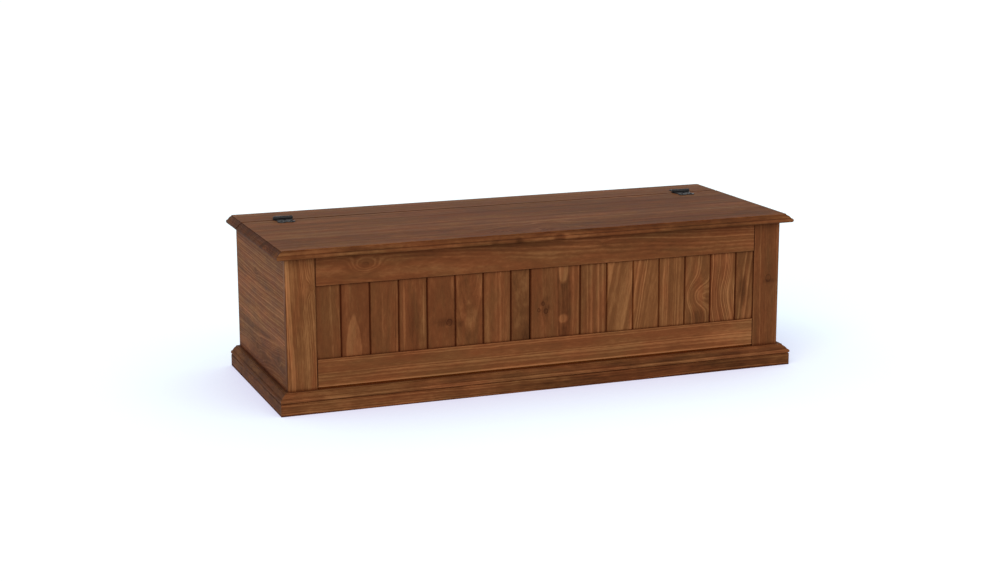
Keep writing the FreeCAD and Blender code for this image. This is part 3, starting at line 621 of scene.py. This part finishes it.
# The base is a plain plinth board on the front and the two sides, mitred at the corners,
# with a small moulding laid on its top edge against the case. It is darker and more mottled
# than the case.
plinth_face = -250
cove_face = -238
nose_face = -249
front_stains = [
    stain_and_painted_light(at=(270, plinth_face, 14), half_length=520, half_width=30, lighter=-0.28, soft=0.7),
    stain_and_painted_light(at=(0, plinth_face, 17), half_length=34, half_width=8, lighter=-0.20, soft=0.8),
    stain_and_painted_light(at=(100, plinth_face, 20), half_length=46, half_width=8, lighter=-0.16, soft=0.8),
    stain_and_painted_light(at=(45, plinth_face, 21), half_length=18, half_width=6, lighter=0.20, soft=0.8),
    stain_and_painted_light(at=(570, plinth_face, 14), half_length=130, half_width=40, lighter=-0.14, soft=0.8),
    stain_and_painted_light(at=(-560, plinth_face, 14), half_length=130, half_width=40, lighter=0.08, soft=0.8),
]
moulding_stains_and_shade = [
    # The darker line along the quirk, eased in the middle, is painted shade.
    stain_and_painted_light(at=(250, cove_face, 42), half_length=700, half_width=6, lighter=-0.34, soft=0.6),
    stain_and_painted_light(at=(50, cove_face, 42), half_length=190, half_width=7, lighter=0.26, soft=0.9),
    stain_and_painted_light(at=(-520, nose_face, 33), half_length=190, half_width=7, lighter=0.16, soft=0.9),
]
left_stains = [
    stain_and_painted_light(at=(-650, 190, 14), half_length=80, half_width=30, lighter=0.14, soft=0.9),
]
plinth_darker = 0.94
for number, (side, grain, face, tone, mottle, plinth_stains, upper_stains_and_shade) in enumerate((
    ("front", "x", "-y", 0.92, 0.7, front_stains, moulding_stains_and_shade),
    ("left", "y", "-x", 0.54, 1.5, left_stains, ()),
    ("right", "y", "x", 0.70, 1.0, (), ()),
)):
    wood("base_moulding_" + side, grain, face, seed=61.3 + number, ring=4.0, heart=(40, -30),
         tone=tone, figure=1.3, mottle=mottle, stains_and_painted_light=upper_stains_and_shade)
    wood("plinth_" + side, grain, face, seed=65.3 + number, ring=4.0, heart=(-45, -30),
         tone=tone * plinth_darker, figure=1.3, wander=14, mottle=mottle, shine=0.05,
         stains_and_painted_light=plinth_stains)


# The lid is three boards glued edge to edge, with a moulded edge on the front and the ends.
# It is hinged to a narrow rail with the same moulding, which is fixed along the back. Two
# battens screwed underneath keep the lid flat.
lid_top = 379
lid_front = -250
# On the lid boards the arris mark is below 0: painted shade on the rounded shoulders of the moulded
# edges. On the front board the edge mark lifts the edge faces with painted light.
wood("lid_board_1", "x", "z", seed=71.3, ring=5.0, heart=(50, -60), tone=0.80, figure=1.2,
     mottle=0.8, wander=16, edge=0.11, arris_light_and_wear=-0.8, shine=0.047,
     knots=[knot(at=(45, -205, lid_top), size=26, reach=2.6, push=0.5, eye=0.9, core=0.0),
            knot(at=(-60, -200, lid_top), size=20, reach=2.6, push=0.6, eye=0.6, core=0.0)],
     stains_and_painted_light=[stain_and_painted_light(at=(330, -205, lid_top), half_length=720, half_width=95, lighter=-0.16, soft=0.8),
             stain_and_painted_light(at=(30, lid_front, lid_top), half_length=20, half_width=12, lighter=-0.40, soft=0.6),
             stain_and_painted_light(at=(-132, lid_front, lid_top), half_length=16, half_width=9, lighter=-0.26, soft=0.8),
             stain_and_painted_light(at=(-72, lid_front, lid_top), half_length=14, half_width=10, lighter=-0.30, soft=0.8),
             # The next two darker bands on the lid's rounded front arris are painted shade.
             stain_and_painted_light(at=(-320, -244, lid_top), half_length=345, half_width=7, lighter=-0.15, soft=0.8),
             stain_and_painted_light(at=(-150, -246, lid_top), half_length=160, half_width=10, lighter=-0.10, soft=0.9)])
wood("lid_board_2", "x", "z", seed=72.9, ring=4.0, heart=(-90, -60), tone=0.80, figure=1.2,
     mottle=0.7, wander=16, arris_light_and_wear=-0.8, shine=0.048,
     stains_and_painted_light=[stain_and_painted_light(at=(330, -30, lid_top), half_length=640, half_width=70, lighter=-0.12, soft=0.9)])
wood("lid_board_3", "x", "z", seed=73.3, ring=4.0, heart=(90, -60), tone=0.80, mottle=0.6,
     wander=16, arris_light_and_wear=-0.8, shine=0.052,
     # This dark line along the back edge is painted shade in the gap against the hinge rail.
     stains_and_painted_light=[stain_and_painted_light(at=(0, 140, lid_top), half_length=900, half_width=2, lighter=-0.5, soft=0.5),
             stain_and_painted_light(at=(250, 70, lid_top), half_length=680, half_width=85, lighter=-0.16, soft=0.8)])
wood("hinge_rail", "x", "z", seed=75.7, ring=5.0, heart=(40, -50), tone=0.84, red=-0.05, wander=12,
     # This dark line along the front edge is painted shade in the gap against the lid.
     stains_and_painted_light=[stain_and_painted_light(at=(0, 144, lid_top), half_length=900, half_width=3, lighter=-0.7, soft=0.5),
             stain_and_painted_light(at=(0, 177, lid_top), half_length=900, half_width=5, lighter=0.12, soft=0.9)])
for number, side in enumerate(("left", "right")):
    wood("lid_batten_" + side, "y", "-z", seed=77.7 + number)


# The hinges are pressed steel butts with shaped leaves, laid on top of the lid and the rail.
# They have a satin black finish, slightly rough to the touch, and their screws are duller.
satin_black = ((0.004, 0.004, 0.005, 1), (0.016, 0.015, 0.015, 1))
dull_black = ((0.001, 0.001, 0.001, 1), (0.003, 0.003, 0.003, 1))


def black_iron(name, seed, colours, shine):
    """Blackened steel, cloudy between two blacks, with a fine orange peel."""
    tree, shader = new_paint(name, name + "_black")
    place = add(tree, "TexCoord").outputs["Object"]
    place = add(tree, "Mapping", {"Vector": place, "Location": (seed, 0.0, 0.0)}).outputs[0]
    cloudy = add(tree, "TexNoise", {"Vector": place, "Scale": 170.0, "Detail": 3.0}).outputs[0]
    pitted = add(tree, "TexNoise", {"Vector": place, "Scale": 900.0, "Detail": 1.0}).outputs[0]
    tree.links.new(blend_colour(tree, cloudy, *colours), shader.inputs["Base Color"])
    rough = smooth_step(tree, cloudy, 0.35, 0.65, 0.30, 0.75)
    tree.links.new(rough, shader.inputs["Roughness"])
    shader.inputs["Specular IOR Level"].default_value = shine
    relief = add(tree, "Bump", {"Height": pitted, "Strength": 0.25, "Distance": 0.0002})
    tree.links.new(relief.outputs[0], shader.inputs["Normal"])


for number, side in enumerate(("left", "right")):
    black_iron(side + "_hinge_fixed_leaf", 0.3 + number, satin_black, shine=0.28)
    black_iron(side + "_hinge_lid_leaf", 0.5 + number, satin_black, shine=0.28)
    black_iron(side + "_hinge_pin", 0.7 + number, satin_black, shine=0.28)
black_iron("hinge_rail_screws", 2.3, dull_black, shine=0.0)
black_iron("hinge_lid_screws", 2.9, dull_black, shine=0.0)


# The screws that hold the two battens under the lid are plain turned steel. They are seen
# only when the lid is open.
tree, shader = new_paint("lid_batten_screws", "plain_steel")
place = add(tree, "TexCoord").outputs["Object"]
turning = add(tree, "TexNoise", {"Vector": place, "Scale": 700.0, "Detail": 2.0}).outputs[0]
colour = blend_colour(tree, turning, (0.42, 0.41, 0.39, 1), (0.60, 0.59, 0.57, 1))
tree.links.new(colour, shader.inputs["Base Color"])
tree.links.new(smooth_step(tree, turning, 0.2, 0.8, 0.28, 0.45), shader.inputs["Roughness"])
shader.inputs["Metallic"].default_value = 1.0
